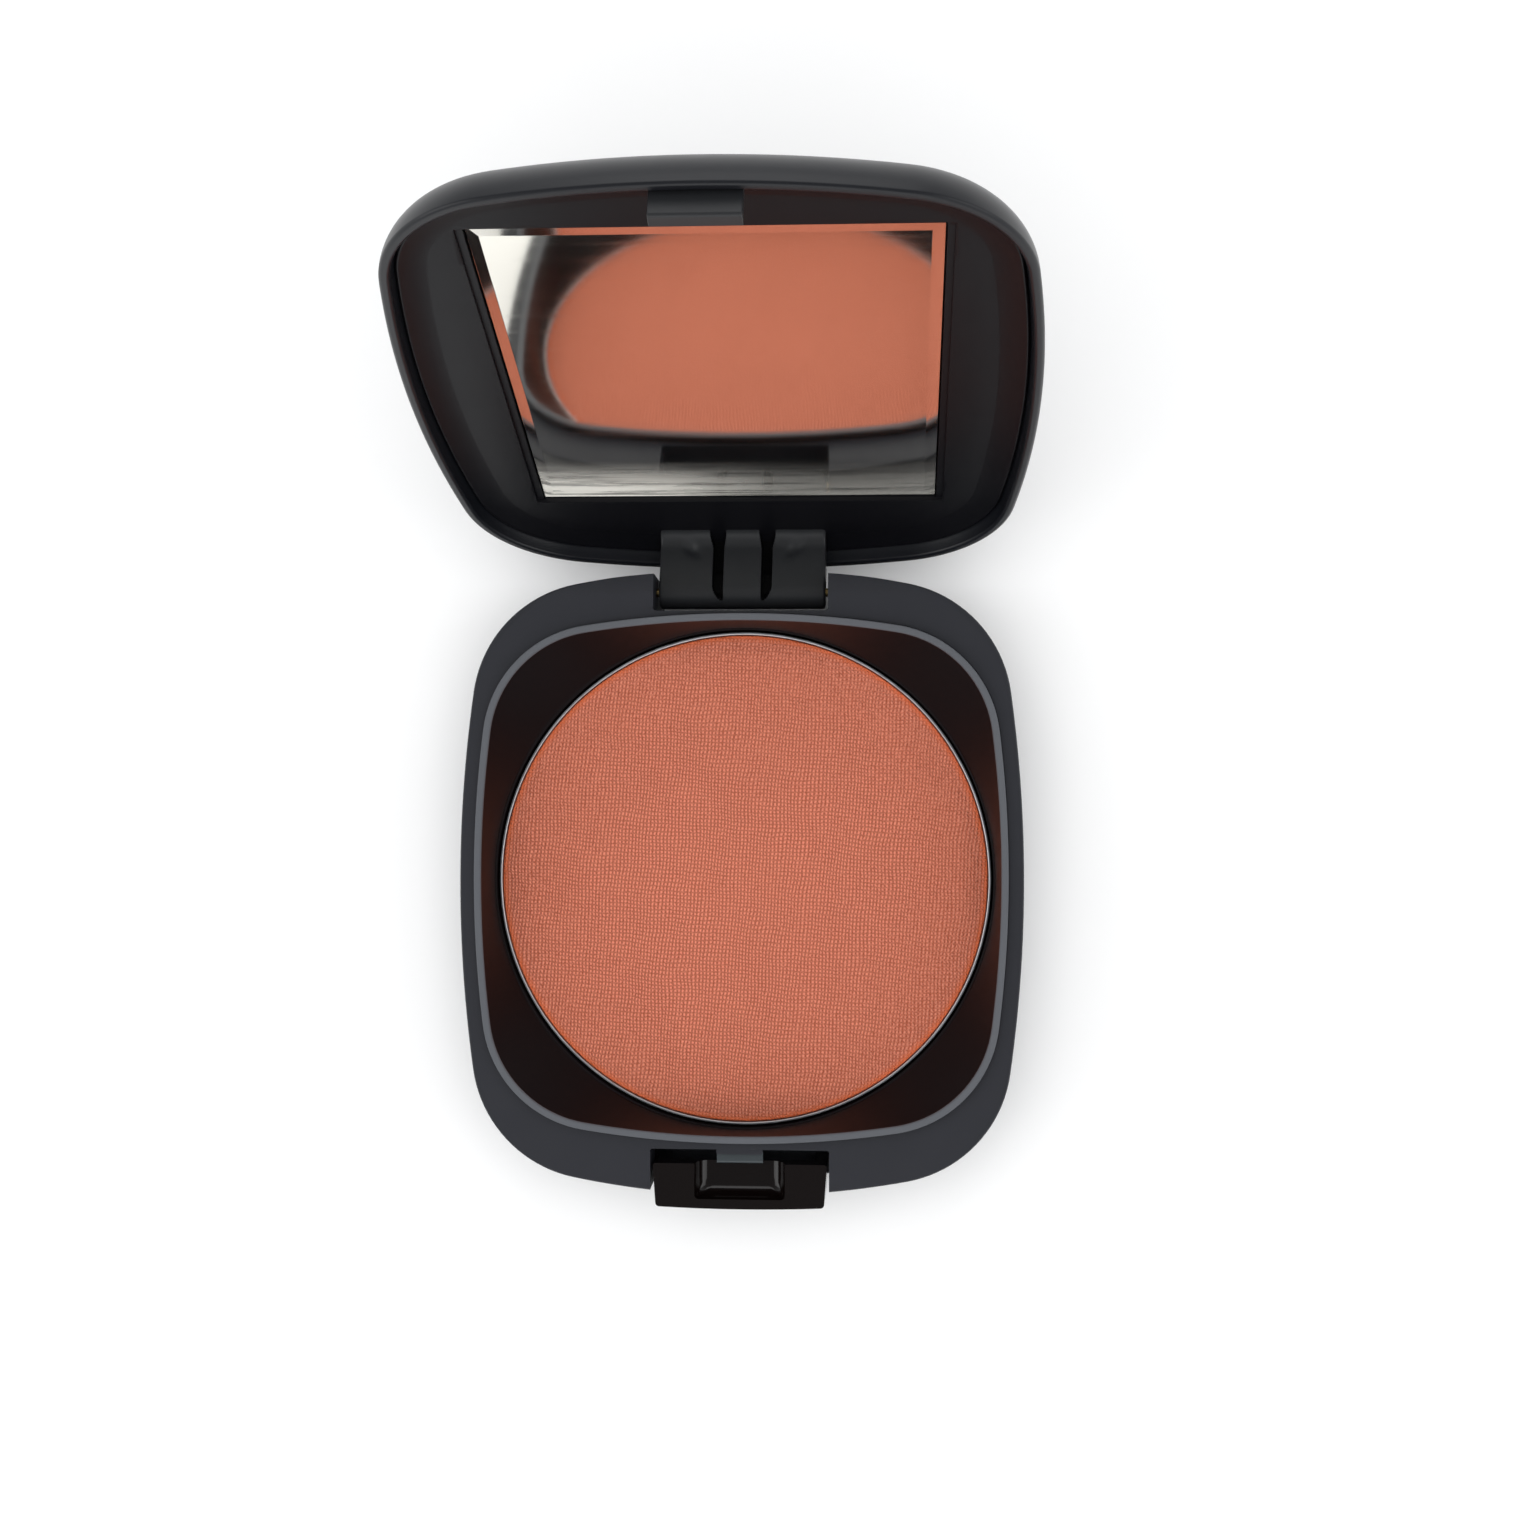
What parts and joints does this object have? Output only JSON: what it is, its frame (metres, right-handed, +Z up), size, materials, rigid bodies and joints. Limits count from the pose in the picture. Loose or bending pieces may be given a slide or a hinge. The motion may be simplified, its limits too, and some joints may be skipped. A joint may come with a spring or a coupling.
{
  "type": "powder compact",
  "caption": "Slim soft-rectangular powder compact with a hinged mirror lid, a front push button and a round pan of pressed powder in a dished tray.",
  "frame": {"origin": "centre of the base's flat underside", "axes": "+X to the right seen from the front, +Y from the latch towards the hinge, +Z up; the lid stands open"},
  "size_m": [0.0658, 0.1072, 0.0718],
  "materials": {
    "base_plastic": "fine matte, slate",
    "label": "blank paper label",
    "tray_plastic": "satin, brown-black",
    "pan_metal": "bright drawn sheet",
    "powder": "pressed powder, woven surface",
    "adhesive": "adhesive film",
    "pin_metal": "drawn wire",
    "button_plastic": "polished black",
    "spring_steel": "drawn wire",
    "lid_plastic": "polished outside",
    "liner_plastic": "satin, near black",
    "mirror_glass": "bevelled glass mirror"
  },
  "bodies": {
    "base": {"base_shell": "base_plastic", "underside_label": "label", "tray_insert": "tray_plastic", "powder_pan": "pan_metal", "powder_cake": "powder", "pan_adhesive": "adhesive", "hinge_pin": "pin_metal"},
    "latch": {"latch_button": "button_plastic", "latch_spring": "spring_steel"},
    "lid": {"lid_shell": "lid_plastic", "lid_liner": "liner_plastic", "mirror": "mirror_glass", "mirror_adhesive": "adhesive"}
  },
  "joints": [
    {"name": "lid_hinge", "type": "hinge", "parent": "base", "child": "lid", "pos_m": [0, 0.034, 0.0083], "axis": [1, 0, 0], "range_deg": [0, 112.5]},
    {"name": "latch_push", "type": "slide", "parent": "base", "child": "latch", "axis": [0, 1, 0], "range_m": [0, 0.0008], "stiffness_N_per_m": 800, "springref_m": -0.0005, "deforming": ["latch_spring"]}
  ]
}
